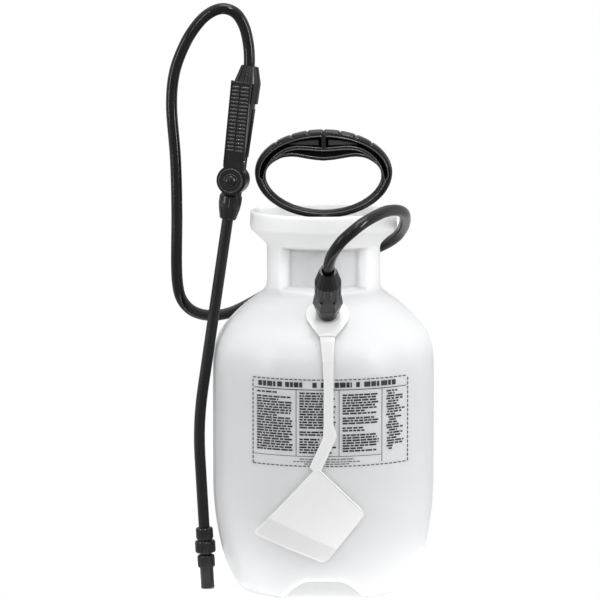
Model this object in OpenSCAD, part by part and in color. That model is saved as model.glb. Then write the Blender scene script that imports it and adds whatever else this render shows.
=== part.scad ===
// Hand-pumped garden sprayer: round tank with a funnel top, pull-out pump with
// an oval ring handle, hose, lift-lever shut-off, curved wand and cone nozzle.
// Millimetres. Z is up, the tank stands on z = 0 and its axis is the Z axis.
// The front of the tank, where the hose leaves, faces -Y.

/* [Tank] */
// Outer radius of the tank body
tank_r = 92.2; // [90:0.1:94]
// Wall thickness of the moulded tank
wall = 2.4; // [2:0.1:2.6]
// Radius of the funnel rim
rim_r = 61; // [60:0.1:62]
// Height of the rim above the floor
rim_z = 315; // [313:0.5:317]
// Radius of the throat that the pump screws into
throat_r = 34.8; // [34.8:0.1:35]
// Half width of the arches between the feet, at the floor
arch_w = 32; // [28:0.5:34]
// Height of the arches between the feet
arch_h = 17.5; // [14:0.5:19]

/* [Outlet] */
// Sideways offset of the hose outlet
outlet_x = 3; // [0:0.5:5]
// Angle of the outlet above the horizontal
outlet_tilt = 47.5; // [45:0.5:50]
// Outer diameter of the hose
hose_d = 9.3; // [8.5:0.1:9.6]

/* [Pump] */
// Outer radius of the pump barrel
barrel_r = 19; // [19:0.01:19.05]
// Bore radius of the pump barrel
barrel_bore_r = 17; // [17:0.01:17.02]
// Lowest point of the pump barrel
barrel_z = 92; // [91.9:0.1:92]
// Radius of the plunger rod
rod_r = 5.5; // [5.48:0.01:5.5]
// Half width of the ring handle
handle_a = 57; // [55:0.5:58]
// Height of the grip's top above the ring's middle
handle_up = 35.3; // [34:0.1:36]
// Drop of the ring's bottom below its middle
handle_down = 38.2; // [37.5:0.1:38.5]
// Height of the ring's middle above the floor
handle_z = 346.5; // [346:0.1:347]

/* [Shut-off and wand] */
// Lean of the wand and grip from the vertical
lean = 8.4; // [7.5:0.1:8.8]
// Turn of the grip about its own length
turn = -9; // [-12:0.5:-6]
// Outer radius of the wand tube
wand_r = 4.6; // [4.58:0.01:4.6]
// Length of the wand's upper straight, from the valve's middle
wand_straight = 176.5; // [174:0.5:178]
// Radius of the wand's bend
bend_r = 280; // [260:5:300]
// Angle of the wand's bend
bend_a = 11.6; // [10:0.1:12]
// Number of grip bars on the lever
lever_bars = 17; // [12:1:17]

/* [Hidden] */
$fn = 64;
eps = 0.05;
k = tank_r / 92.2;          // body radius against its design value
black = "#1d1d1f";
natural = "#eef0f1";

// ---------- frames ----------
base_pt = [outlet_x, -69, 236];
module outlet_frame() { translate(base_pt) rotate([90 - outlet_tilt, 0, 0]) children(); }
wand_pt = [-74.3, -20, 342];
module wand_frame() { translate(wand_pt) rotate([0, lean, 0]) children(); }
module grip_frame() { wand_frame() rotate([0, 0, turn]) children(); }
lower_len = 59.5;
lower_len_in = lower_len + 16;
module lower_frame() { wand_frame() translate([bend_r, 0, -wand_straight]) rotate([0, -bend_a, 0]) translate([-bend_r, 0, 0]) children(); }
module nozzle_frame() { lower_frame() translate([0, 0, -lower_len]) children(); }

// A tube or rod along -Z, from d0 down to d1
module down(d0, d1, r) { translate([0, 0, -d1]) cylinder(h = d1 - d0, r = r); }
// Lengthwise grooves round a collar
module flutes(n, r_at, r, z0, h) { for (i = [0:n - 1]) rotate([0, 0, i * 360 / n]) translate([r_at, 0, z0]) cylinder(h = h, r = r, $fn = 24); }

// ---------- tank ----------
tank_outer = [[0, 14], [36, 14], [46, 10], [52, 4], [56, 0], [70, 0], [74, 1.5], [77, 4.5], [79, 9], [80.5, 15],
  [83, 24], [85.5, 33], [88, 46], [90, 58], [91.5, 71], [92.2 * k, 88], [92.2 * k, 186], [91.8, 193], [90.8, 200],
  [89, 206], [86.5, 212.5], [83, 218], [78, 224.5], [72, 231], [66, 236.5], [60, 241.2], [55, 244.8], [50, 248.3],
  [47.6, 251], [47, 254], [47, 286], [48, 288.5], [rim_r - 1, 299.5], [rim_r, 301.5], [rim_r, rim_z - 2],
  [rim_r - 1, rim_z], [rim_r - 2.4, rim_z], [rim_r - 3, rim_z - 1.5], [rim_r - 3, 302], [46, 290.6], [45, 290], [0, 290]];
w2 = wall + 0.2;
tank_inner = [[0, 14 + wall], [35, 14 + wall], [45, 10.2 + wall], [53, 3.6 + wall], [57, w2], [69, w2], [72.2, 3.8],
  [74.6, 6.2], [76.4, 10], [78, 15.6], [80.5, 24.6], [83, 33.6], [85.5, 46.4], [87.5, 58.2], [89, 71.2],
  [92.2 * k - wall, 88], [92.2 * k - wall, 186], [89.4, 192.6], [88.4, 199.2], [86.6, 204.9], [84.2, 211],
  [80.8, 216.6], [76.1, 222.7], [70.3, 229], [64.4, 234.4], [58.6, 239], [53.6, 242.4], [48.8, 245.9], [45.2, 249.4], [0, 249.4]];

// The cross of two channels under the base that leaves four feet
module arches(g) {
  a = arch_w + g; h = arch_h + g;
  prof = [[-a - 2, -5], [-a, 0], [-a + 2.5, 5.5], [-a + 6, 9.5], [-a + 12, h - 3], [-14, h - 0.3], [14, h - 0.3],
    [a - 12, h - 3], [a - 6, 9.5], [a - 2.5, 5.5], [a, 0], [a + 2, -5]];
  for (q = [0, 90]) rotate([0, 0, q]) rotate([90, 0, 0]) translate([0, 0, -110]) linear_extrude(220) polygon(prof);
}

module tank_shell() color(natural) difference() {
  union() {
    difference() {
      rotate_extrude($fn = 128) polygon(tank_outer);
      arches(0);
    }
    outlet_frame() translate([0, 0, -9]) cylinder(h = 9, r = 14);
  }
  difference() {
    rotate_extrude($fn = 128) polygon(tank_inner);
    arches(wall);
  }
  translate([0, 0, 240]) cylinder(h = 60, r = throat_r);
  // the two pillars beside the throat are hollow
  for (s = [0, 180]) rotate([0, 0, s - 38]) rotate_extrude(angle = 76) translate([throat_r + wall, 249.2]) square([9.8 - wall, 36.8]);
  // finger recesses at the front and the back of the neck
  for (s = [90, 270]) rotate([0, 0, s - 49]) rotate_extrude(angle = 98) polygon([[throat_r + wall, 252.4], [52, 252.4], [52, 286.5], [throat_r + wall, 284.5]]);
  outlet_frame() translate([0, 0, -20]) cylinder(h = 30, r = 6.1);
}

// ---------- hose outlet ----------
module hex_taper(h, r1, r2) { rotate([0, 0, 0]) cylinder(h = h, r1 = r1, r2 = r2, $fn = 6); }

module outlet_body() color(black) outlet_frame() difference() {
  union() {
    translate([0, 0, -12.5]) cylinder(h = 14.3, r = 5.9);
    translate([0, 0, 1.6]) hex_taper(12.9, 8.6, 12.3);
    translate([0, 0, 14.5]) hex_taper(9.9, 12.3, 11.2);
    translate([0, 0, 24]) cylinder(h = 12.6, r = 7.9);
    translate([0, 0, 36]) cylinder(h = 8, r = 3.3);
    translate([0, 0, -21]) cylinder(h = 9, r = 2.9);
  }
  translate([0, 0, -30]) cylinder(h = 80, r = 2);
}
module outlet_gasket() color("#2b2b2b") outlet_frame() difference() { cylinder(h = 1.55, r = 7.3); translate([0, 0, -1]) cylinder(h = 4, r = 6.05); }
module outlet_lock_nut() color(black) outlet_frame() difference() {
  translate([0, 0, -11.6]) cylinder(h = 4.4, r = 10.5, $fn = 6);
  translate([0, 0, -13]) cylinder(h = 8, r = 6);
}
// Ribbed compression nut, used at both ends of the hose: 0 is its open end, 30.2 its mouth
nut_len = 30.2;
module hose_nut() difference() {
  union() {
    difference() {
      cylinder(h = 16.4, r = 10.9);
      flutes(12, 11.75, 1.75, -1, 20);
    }
    translate([0, 0, 16.4]) cylinder(h = nut_len - 16.4, r1 = 10.5, r2 = 6.7);
    for (i = [0:11]) rotate([0, 0, i * 30 + 15]) translate([0, 0, 16.3]) rotate([90, 0, 0]) translate([0, 0, -0.8])
      linear_extrude(1.6) polygon([[9.5, -0.3], [10.9, -0.3], [10.9, 0.2], [7.1, nut_len - 16.4], [6, nut_len - 16.4]]);
  }
  translate([0, 0, -1]) cylinder(h = 14.4, r = 8.1);
  translate([0, 0, 12]) cylinder(h = 30, r = 5.3);
}
module outlet_hose_nut() color(black) outlet_frame() translate([0, 0, 24.6]) hose_nut();
module grip_hose_nut() color(black) grip_frame() translate([0, 0, 64.4]) hose_nut();

dip_bend = 16;
dip_a = 90 - outlet_tilt;
dip_y = -69 + 18 * cos(outlet_tilt) + dip_bend * (1 - cos(dip_a));
dip_z = 236 - 18 * sin(outlet_tilt) - dip_bend * sin(dip_a);
dip_c = [outlet_x, dip_y - dip_bend, dip_z];
dip_top = base_pt - 13 * [0, -cos(outlet_tilt), sin(outlet_tilt)];
dip_line = concat([for (q = [dip_a:-dip_a / 5:0.01]) dip_c + dip_bend * [0, cos(q), sin(q)]], [[outlet_x, dip_y, dip_z - 2]]);
module dip_tube() color("#f4f4f0") difference() {
  sweep(concat([dip_top], dip_line, [[outlet_x, dip_y, 32]]), 4, 16, [1, 0, 0]);
  sweep(concat([dip_top + [0, -0.9, 1]], dip_line, [[outlet_x, dip_y, 30]]), 3.02, 16, [1, 0, 0]);
}
module intake_filter() color("white") translate([outlet_x, dip_y, 0]) difference() {
  translate([0, 0, 23]) cylinder(h = 19, r = 6);
  translate([0, 0, 31]) cylinder(h = 12, r = 4.1);
  translate([0, 0, 25]) cylinder(h = 12, r = 3);
  for (q = [0:30:150]) for (z = [26, 28.4]) rotate([0, 0, q]) translate([-8, -0.7, z]) cube([16, 1.4, 1.2]);
}

// ---------- hose ----------
// Centre line: from the outlet nut, forward and up, over to the right, round
// behind the neck, down beside the tank's left shoulder, up and over to the grip
hose_pts = [[3, -98.8, 268.5], [3, -106, 276.5], [4.5, -117, 286], [8, -126, 294.5], [14, -131.5, 303], [22, -132.5, 310.5],
  [31, -127.5, 317], [40.5, -118, 321.5], [50, -103.5, 324], [59, -85.5, 323], [64.5, -66, 319], [66.5, -42, 313],
  [67, -14, 305.5], [65.5, 12, 297.5], [60.5, 32, 288.5], [49, 50, 279.5], [31, 62.5, 271.5], [9, 70, 263.5], [-14, 72.5, 254.5],
  [-36, 69, 244], [-54, 60.5, 234], [-68, 50, 227.5], [-79.5, 38.5, 224], [-91, 26, 223.5], [-102, 13.5, 226], [-111, 3, 231.5],
  [-117.5, -6, 240.5], [-120.5, -13, 252], [-121.5, -19, 272], [-121, -20, 317], [-122, -20, 360], [-125, -20, 402],
  [-122.5, -20, 430], [-114, -20, 453], [-104, -20, 469], [-94, -20, 478.5], [-83, -20, 482.5], [-72.5, -20, 479], [-65.5, -20, 468.5],
  [-62, -20, 454.5], [-61, -20, 440]];
hose_end = wand_pt + [83.9 * sin(lean), 0, 83.9 * cos(lean)];
hose_line = concat(hose_pts, [hose_end]);
function at(p, i) = i < 0 ? 2 * p[0] - p[1] : i >= len(p) ? 2 * p[len(p) - 1] - p[len(p) - 2] : p[i];
function knot(p, i, t) = 0.5 * (2 * at(p, i) + (at(p, i + 1) - at(p, i - 1)) * t
  + (2 * at(p, i - 1) - 5 * at(p, i) + 4 * at(p, i + 1) - at(p, i + 2)) * t * t
  + (3 * at(p, i) - at(p, i - 1) - 3 * at(p, i + 1) + at(p, i + 2)) * t * t * t);
function smooth(p, n) = concat([for (i = [0:len(p) - 2]) for (j = [0:n - 1]) knot(p, i, j / n)], [p[len(p) - 1]]);
function unit(v) = v / norm(v);
function tangent(p, i) = unit(at(p, i + 1) - at(p, i - 1));
// carry the section's side vector along the line so that it doesn't twist
function carry(p, i, s) = let (t = tangent(p, i)) unit(s - (s * t) * t);
function sides(p, i, s) = i >= len(p) ? [] : let (v = carry(p, i, s)) concat([v], sides(p, i + 1, v));
module sweep(p, r, n, first) {
  s = sides(p, 0, first);
  pts = [for (i = [0:len(p) - 1]) let (t = tangent(p, i), u = s[i], v = cross(t, u)) for (j = [0:n - 1]) p[i] + r * cos(j * 360 / n) * u + r * sin(j * 360 / n) * v];
  m = len(p);
  polyhedron(pts, concat([[for (j = [0:n - 1]) j]], [[for (j = [n - 1:-1:0]) (m - 1) * n + j]],
    [for (i = [0:m - 2]) for (j = [0:n - 1]) [i * n + j, (i + 1) * n + (j + 1) % n, i * n + (j + 1) % n]],
    [for (i = [0:m - 2]) for (j = [0:n - 1]) [i * n + j, (i + 1) * n + j, (i + 1) * n + (j + 1) % n]]));
}
// two rings to a span
module hose() color(black) sweep(smooth(hose_line, 2), hose_d / 2, 10, [1, 0, 0]);

// ---------- shut-off ----------
// In this frame +Z runs up to the hose, -Y faces out through the lever
bonnet_y = -9;
pin_y = -9.8;
pin_z = 16;
module along_y(y0, y1, r) { translate([0, y1, 0]) rotate([90, 0, 0]) cylinder(h = y1 - y0, r = r); }

module shutoff_body() color(black) grip_frame() difference() {
  union() {
    translate([0, 0, 9]) cylinder(h = 54.8, r = 9);
    for (q = [-60, -20, 20, 60]) rotate([0, 0, q]) translate([8.6, -0.8, 20]) cube([1, 1.6, 40]);
    along_y(bonnet_y, 9.5, 12.2);
    translate([-6.2, -11.4, 12.8]) cube([12.4, 6, 6.2]);
    down(9, 12.3, 8.4);
    down(9, 24.5, 7.4);
    translate([0, 0, 60]) cylinder(h = 16.8, r = 7.9);
    translate([0, 0, 76]) cylinder(h = 7.9, r = 3.3);
  }
  // inlet from the hose, chamber, seat and outlet
  translate([0, 0, 1]) cylinder(h = 90, r = 2);
  along_y(-12, 3.2, 6.5);
  along_y(3, 7.6, 4);
  translate([0, 4.6, -13.6]) cylinder(h = 13.6, r = 2);
  down(13, 30, 4.67);
  translate([-10, pin_y, pin_z]) rotate([0, 90, 0]) cylinder(h = 20, r = 1.5);
}
module valve_bonnet() color(black) grip_frame() difference() {
  union() {
    along_y(-11.4, bonnet_y - 0.02, 12.2);
    along_y(bonnet_y - 0.5, -6.5, 6.4);
  }
  along_y(-14, 0, 2.62);
  // flat that clears the lever's fulcrum
  translate([-8, -14, 11.2]) cube([16, 6, 4]);
}
module valve_stem() color("#2a2a2c") grip_frame() union() {
  along_y(-15.2, 2, 2.55);
  along_y(0.2, 2, 5.2);
  // domed head in front of the lever
  translate([0, -14.7, 0]) rotate([90, 0, 0]) rotate_extrude() polygon([[0, 0], [5.1, 0], [5.1, 0.6], [4.9, 1.5], [4.3, 2.5], [3.3, 3.3], [1.9, 3.8], [0, 4]]);
}
module stem_seal() color("#3a3a3a") grip_frame() along_y(2, 3.15, 5.6);
module valve_spring() color("silver") grip_frame() {
  turns = 4; y0 = -0.9; y1 = -5.4; n = 12 * turns;
  sweep([for (i = [0:n]) [4.4 * cos(i * 30), y0 + (y1 - y0) * i / n, 4.4 * sin(i * 30)]], 0.45, 6, [1, 0, 0]);
}
module lever_pin() color("silver") grip_frame() translate([-8.9, pin_y, pin_z]) rotate([0, 90, 0]) cylinder(h = 17.8, r = 1.5);

// Side outline of the lever, y against z
module lever_plate(x0, x1, prof) { translate([x0, 0, 0]) rotate([90, 0, 90]) linear_extrude(x1 - x0) polygon(prof); }
module lever() color(black) grip_frame() difference() {
  union() {
    // round end over the valve, with a raised rim
    along_y(-14.6, -12, 10.8);
    difference() { along_y(-15.1, -14.5, 10.4); along_y(-16, -14, 8.7); }
    lever_plate(-7.4, 7.4, [[-14.6, 0], [-12, 0], [-12, 18], [-14.6, 17]]);
    translate([0.4, 0, 12]) rotate([0, -1.8, 0]) translate([0, 0, -12]) {
      // pressed plate, leaning away from the body
      lever_plate(-7.6, 7.6, [[-14.6, 16], [-12, 16], [-18.8, 82], [-21.2, 82], [-21.4, 81]]);
      // flanges, with their front edges standing as rails beside the bars
      for (s = [0, 1]) mirror([s, 0, 0]) lever_plate(7.1, 8.3, [[-14.2, 11], [-8, 11.5], [-7, 14], [-7, 19], [-9, 40], [-12.2, 57], [-15.8, 63], [-17.6, 82], [-21.6, 82.4], [-22.1, 81.4], [-15.2, 15]]);
      // grip bars in two rows with a row of dots between them
      for (i = [0:lever_bars - 1]) let (z = 27.4 + i * 3.07, y = -14.6 - (z - 16) * 0.1035)
        translate([0, y, z]) { translate([-6.4, -1, 0]) cube([5.5, 1.6, 1.6]); translate([0.3, -1, 0]) cube([6.1, 1.6, 1.6]); translate([-0.6, -0.5, 0.4]) cube([0.6, 0.9, 0.8]); }
      translate([-7.2, -21.9, 79.9]) cube([14.4, 1.6, 1.4]);
    }
  }
  along_y(-17, -10, 3.4);
  translate([-10, pin_y, pin_z]) rotate([0, 90, 0]) cylinder(h = 20, r = 1.56);
  // the boss on the body comes between the flanges
  translate([-6.7, -12, 12]) cube([13.4, 8, 8]);
}

module wand_nut() color(black) grip_frame() difference() {
  rotate_extrude() polygon([[7.5, -12.4], [8.4, -12.4], [9.4, -13.8], [9.4, -19.5], [8.7, -24.4], [6.9, -31.8], [6.2, -33], [4.75, -33], [4.75, -27.5], [7.5, -27.4]]);
  for (i = [0:9]) rotate([0, 0, i * 36 + 18]) translate([10.9, 0, -30]) rotate([0, -3, 0]) cylinder(h = 15, r = 1.7, $fn = 24);
}
module wand_o_ring() color("#2b2b2b") wand_frame() translate([0, 0, -26]) rotate_extrude() translate([5.98, 0]) circle(r = 1.25);

// ---------- wand ----------
function wand_at(q) = [bend_r * (1 - cos(q)), 0, -wand_straight - bend_r * sin(q)];
function wand_line(top, end) = concat([[0, 0, top], [0, 0, -wand_straight + 3]], [for (i = [0:6]) wand_at(i * bend_a / 6)],
  [for (e = [3, end]) wand_at(bend_a) + e * [sin(bend_a), 0, -cos(bend_a)]]);
module wand_tube() color(black) wand_frame() difference() {
  sweep(wand_line(-13.2, lower_len_in), wand_r, 24, [0, 1, 0]);
  sweep(wand_line(-12, lower_len_in + 1), 3.1, 24, [0, 1, 0]);
}

// ---------- nozzle, distances run down from the clamp nut's top ----------
module round_collar(z0, z1, r) rotate_extrude() polygon([[0, -z0], [r - 1.6, -z0], [r - 0.5, -z0 - 0.4], [r, -z0 - 1.5], [r, -z1 + 1.5], [r - 0.5, -z1 + 0.4], [r - 1.6, -z1], [0, -z1]]);
module nozzle_nut() color(black) nozzle_frame() difference() {
  round_collar(0, 10.2, 7.15);
  flutes(20, 7.6, 0.8, -10.4, 10.5);
  translate([0, 0, -20]) cylinder(h = 30, r = 4.7);
  down(1.9, 12, 6);
}
module nozzle_body() color(black) nozzle_frame() difference() {
  union() {
    down(2.2, 11.5, 5.85);
    difference() { round_collar(10.9, 21.4, 8.5); flutes(16, 9.3, 1.3, -20.4, 8.4); }
    down(21, 38, 4.4);
  }
  down(2, 16.2, 4.66);
  down(10, 50, 2.2);
}
module swirl_core() color("#c9b37a") nozzle_frame() difference() {
  union() { down(33, 38.1, 2.2); down(38.05, 41, 3.1); }
  for (q = [0, 90]) rotate([0, 0, q]) translate([-4, -0.45, -41.5]) cube([8, 0.9, 2.2]);
  down(32, 37, 1.2);
}
module nozzle_o_ring() color("#2b2b2b") nozzle_frame() difference() { down(30, 31.4, 5.13); down(29, 33, 4.47); }
module nozzle_tip() color(black) nozzle_frame() difference() {
  union() {
    difference() { round_collar(23.1, 33.9, 7.35); flutes(18, 7.9, 0.9, -34, 12); }
    down(33, 50.9, 5.7);
  }
  down(22, 45.5, 5.2);
  down(40, 60, 0.75);
  down(47.5, 52, 4);
}

// ---------- pump ----------
module pump_gasket() color("#2b2b2b") difference() { translate([0, 0, 290.02]) cylinder(h = 1.5, r = 41.5); translate([0, 0, 285]) cylinder(h = 10, r = 35.4); }
module ring_ridge(r, z, h, d) { rotate_extrude() polygon([[r - 0.5, z - h], [r, z - h], [r + d, z], [r, z + h], [r - 0.5, z + h]]); }
module pump_cap() color(black) difference() {
  union() {
    difference() { translate([0, 0, 266]) cylinder(h = 27, r = 33.4); translate([0, 0, 265]) cylinder(h = 26.6, r = 31); }
    for (z = [270, 275, 280, 285]) ring_ridge(33.3, z, 1.3, 1.1);
    translate([0, 0, 291.6]) cylinder(h = 3.4, r = 42);
    difference() { translate([0, 0, 276]) cylinder(h = 17, r = 21.6); translate([0, 0, 275]) cylinder(h = 16.6, r = barrel_r + 0.15); }
    translate([0, 0, 295 - eps]) cylinder(h = 1.6, r = 13);
    // wings to turn the cap by
    for (s = [0, 180]) rotate([0, 0, s]) translate([16, -2.2, 294.9]) cube([22, 4.4, 7]);
    // hooks that hold the handle down once it is turned
    for (s = [90, 270]) rotate([0, 0, s]) {
      translate([12.2, -5.5, 294.9]) cube([3, 11, 8]);
      translate([8.4, -5.5, 300.7]) cube([5, 11, 2.2]);
    }
  }
  translate([0, 0, 280]) cylinder(h = 30, r = 6.2);
}
module pump_barrel() color("#e8e8e6") difference() {
  translate([0, 0, barrel_z]) cylinder(h = 291.4 - barrel_z, r = barrel_r);
  translate([0, 0, barrel_z - 1]) cylinder(h = 220, r = barrel_bore_r);
}
module rod_guide() color("#2a2a2c") difference() {
  union() { translate([0, 0, 279]) cylinder(h = 12.2, r = barrel_bore_r - 0.05); }
  translate([0, 0, 270]) cylinder(h = 30, r = rod_r + 0.06);
  for (i = [0:5]) rotate([0, 0, i * 60]) translate([11.5, 0, 270]) cylinder(h = 30, r = 2.2);
}
module foot_valve_seat() color("#2a2a2c") difference() {
  translate([0, 0, barrel_z]) cylinder(h = 4, r = barrel_bore_r - 0.02);
  translate([0, 0, 80]) cylinder(h = 30, r = 1.75);
  for (i = [0:5]) rotate([0, 0, i * 60]) translate([7.4, 0, 80]) cylinder(h = 30, r = 2.2);
}
module check_valve() color("#3a3a3a") union() {
  translate([0, 0, 90.3]) cylinder(h = 1.6, r = 11);
  translate([0, 0, 91.8]) cylinder(h = 6.8, r = 1.6);
  translate([0, 0, 97.6]) cylinder(h = 1.1, r = 2.4);
}
module piston_head() color("#2a2a2c") union() {
  translate([0, 0, 99.8]) cylinder(h = 4.2, r = 16.2);
  translate([0, 0, 103.9]) cylinder(h = 6.1, r = 8);
}
module piston_cup() color("#3a3a3a") difference() {
  translate([0, 0, 104.15]) cylinder(h = 5.6, r = barrel_bore_r - 0.07);
  translate([0, 0, 100]) cylinder(h = 12, r = 8.06);
  translate([0, 0, 106]) difference() { cylinder(h = 6, r = 15.6); translate([0, 0, -1]) cylinder(h = 8, r = 10); }
}
module piston_retainer() color("#2a2a2c") difference() { translate([0, 0, 110]) cylinder(h = 3, r = 13.5); translate([0, 0, 109]) cylinder(h = 6, r = rod_r + 0.02); }
module plunger_rod() color("#2a2a2c") difference() {
  translate([0, 0, 110.02]) cylinder(h = 195.9, r = rod_r);
  translate([0, 0, 118]) cylinder(h = 200, r = 3.4);
}

// Oval outline of the ring handle: half ellipses with different heights
function oval(a, up, dn, n) = [for (i = [0:n - 1]) let (q = i * 360 / n) [a * cos(q), (q < 180 ? up : dn) * sin(q)]];
hole_top = [[47.6, 0], [46.5, 3.5], [44, 6.5], [40, 9.5], [34.5, 12.3], [28, 13.2], [22, 12.9], [15, 11.6], [8, 10.4], [0, 9.7]];
hole = concat(hole_top, [for (i = [8:-1:0]) [-hole_top[i][0], hole_top[i][1]]], [for (q = [190:10:350]) [48.6 * cos(q), 31.3 * sin(q)]]);
module flat_y(y0, y1) { translate([0, y1, 0]) rotate([90, 0, 0]) linear_extrude(y1 - y0) children(); }
module pump_handle() color(black) difference() {
  union() {
    translate([0, 0, handle_z]) {
      // slim rod of the lower half, and the deep grip of the upper half
      flat_y(-4.4, 4.4) difference() { polygon(oval(handle_a, handle_up, handle_down, 72)); polygon(hole); }
      flat_y(-9, 9) difference() {
        intersection() { polygon(oval(handle_a, handle_up, handle_down, 72)); translate([-60, -1]) square([120, 50]); }
        polygon(hole);
      }
    }
    translate([0, 0, 297.2]) cylinder(h = 15, r = 8);
    for (s = [0, 180]) rotate([0, 0, s]) translate([6, -3, 297.2]) cube([5.4, 6, 3]);
  }
  // pockets that lighten the grip, split by a middle rib
  for (s = [-1, 1]) for (m = [0, 1]) mirror([m, 0, 0]) translate([0, s * 6.2, handle_z]) flat_y(-3, 3)
    polygon([[1.6, 24], [1.6, 33], [10, 32.3], [20, 30.4], [30, 27], [40, 21.5], [47, 15.4], [52.5, 7.5], [50, 6], [45, 12], [38, 17.5], [28, 20.8], [18, 22], [8, 22.8]]);
  // seven notches across the top
  for (x = [-40, -27.5, -13.7, 0, 14, 27.5, 40.5]) let (z = handle_up * sqrt(1 - pow(x / handle_a, 2)))
    translate([x, 0, handle_z + z + 0.5]) rotate([90, 0, 0]) cylinder(h = 30, r = 1.2, center = true);
  translate([0, 0, 290]) cylinder(h = 16, r = rod_r);
}

// ---------- blank hang tag on the outlet ----------
tag_gap = 0.5;
tag_t = 0.5;
skin = [[84.6, 222.6], [88, 216], [90.4, 208.5], [92.2, 200.5], [93, 193], [93.4, 186], [93.4, 20]];
module tag_skin() { rotate_extrude($fn = 128) polygon(concat([for (p = skin) [p[0] - 0.2, p[1]]], [for (i = [len(skin) - 1:-1:0]) [skin[i][0] + 0.3, skin[i][1] + (i == 0 ? 0.4 : 0)]])); }
module tag_strap() color("white") union() {
  outlet_frame() difference() {
    union() {
      translate([0, 0, 0.1]) cylinder(h = 0.5, r = 17.5);
      translate([0, 0, 0.1]) linear_extrude(0.5) polygon([[-16.6, -5.5], [-13, -13], [-6.6, -23.4], [6.2, -23.4], [13, -13], [16.6, -5.5]]);
    }
    translate([0, 0, -1]) cylinder(h = 3, r = 9.8);
  }
  intersection() {
    tag_skin();
    flat_y(-200, -20) polygon([[-4.2, 226], [-2.6, 214], [-1.2, 200], [-0.4, 185], [-0.4, 148], [-1, 138], [-12, 114], [-4, 107.5], [10.6, 139.5], [7.6, 150], [7.6, 200], [8.4, 214], [9.4, 226]]);
  }
}
module hang_tag() color("white") intersection() {
  rotate_extrude($fn = 128) polygon([[93.8, 20], [94.3, 20], [94.3, 130], [93.8, 130]]);
  flat_y(-200, -20) polygon([[-8.2, 112], [-3.2, 112.6], [31.6, 78.5], [32.6, 74], [2.6, 37.2], [-1.6, 36.2], [-55.2, 55.8], [-56.2, 58.8]]);
}

tank_shell();
outlet_body();
outlet_gasket();
outlet_lock_nut();
outlet_hose_nut();
dip_tube();
intake_filter();
hose();
grip_hose_nut();
shutoff_body();
valve_bonnet();
valve_stem();
stem_seal();
valve_spring();
lever();
lever_pin();
wand_nut();
wand_o_ring();
wand_tube();
nozzle_nut();
nozzle_body();
swirl_core();
nozzle_o_ring();
nozzle_tip();
pump_gasket();
pump_cap();
pump_barrel();
rod_guide();
foot_valve_seat();
check_valve();
piston_cup();
piston_head();
piston_retainer();
plunger_rod();
pump_handle();
tag_strap();
hang_tag();
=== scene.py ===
import math, random
import bpy, bmesh
from mathutils import Vector, Matrix


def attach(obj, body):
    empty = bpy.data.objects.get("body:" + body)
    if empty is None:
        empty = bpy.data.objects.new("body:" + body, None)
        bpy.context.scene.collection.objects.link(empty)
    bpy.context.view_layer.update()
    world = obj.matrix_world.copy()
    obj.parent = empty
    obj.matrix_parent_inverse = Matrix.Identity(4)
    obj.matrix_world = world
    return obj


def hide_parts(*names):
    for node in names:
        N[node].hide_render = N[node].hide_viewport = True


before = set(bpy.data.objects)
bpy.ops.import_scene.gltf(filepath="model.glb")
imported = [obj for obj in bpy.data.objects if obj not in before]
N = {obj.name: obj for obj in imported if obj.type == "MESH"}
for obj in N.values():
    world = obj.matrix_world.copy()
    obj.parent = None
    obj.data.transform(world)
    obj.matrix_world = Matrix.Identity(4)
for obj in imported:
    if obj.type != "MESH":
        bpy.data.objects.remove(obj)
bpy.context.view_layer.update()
MM = 0.001

# ---------------------------------------------------------------- camera
cam = bpy.data.cameras.new("Camera")
cam.lens, cam.sensor_width, cam.sensor_fit = 217.86, 36.0, "HORIZONTAL"
cam.clip_start, cam.clip_end = 0.05, 50
cam_o = bpy.data.objects.new("Camera", cam)
bpy.context.collection.objects.link(cam_o)
cam_o.location = (-0.0195, -3.0, 0.608)
cam_o.rotation_euler = (math.radians(83.0), 0, 0)
bpy.context.scene.camera = cam_o

# ---------------------------------------------------------------- local frames of the object (mm)
def Rx(a): return Matrix.Rotation(math.radians(a), 4, "X")
def Ry(a): return Matrix.Rotation(math.radians(a), 4, "Y")
def Rz(a): return Matrix.Rotation(math.radians(a), 4, "Z")
def T(x, y, z): return Matrix.Translation((x, y, z))
LEAN, TURN, BEND_R, BEND_A, STRAIGHT, LOWER = 8.4, -9.0, 280.0, 11.6, 176.5, 59.5
OUTLET = T(3, -69, 236) @ Rx(90 - 47.5)
WAND = T(-74.3, -20, 342) @ Ry(LEAN)
GRIP = WAND @ Rz(TURN)
LOWF = WAND @ T(BEND_R, 0, -STRAIGHT) @ Ry(-BEND_A) @ T(-BEND_R, 0, 0)
NOZ = LOWF @ T(0, 0, -LOWER)

# ---------------------------------------------------------------- mesh helpers (input in mm)
def make(name, verts, faces, M=None, smooth=True):
    me = bpy.data.meshes.new(name)
    vs = [((M @ Vector(v)) if M else Vector(v)) * MM for v in verts]
    me.from_pydata(vs, [], faces)
    me.validate()
    bm = bmesh.new(); bm.from_mesh(me)
    bmesh.ops.recalc_face_normals(bm, faces=bm.faces)
    bm.to_mesh(me); bm.free()
    for p in me.polygons: p.use_smooth = smooth
    o = bpy.data.objects.new(name, me)
    bpy.context.collection.objects.link(o)
    return o

def apply_mods(o):
    dg = bpy.context.evaluated_depsgraph_get()
    me = bpy.data.meshes.new_from_object(o.evaluated_get(dg))
    o.modifiers.clear(); old = o.data; o.data = me; me.name = o.name
    return o

def boolean(o, cutter, op="DIFFERENCE"):
    m = o.modifiers.new("b", "BOOLEAN"); m.object = cutter; m.operation = op; m.solver = "EXACT"
    apply_mods(o)
    bpy.data.objects.remove(cutter, do_unlink=True)
    return o

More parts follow.
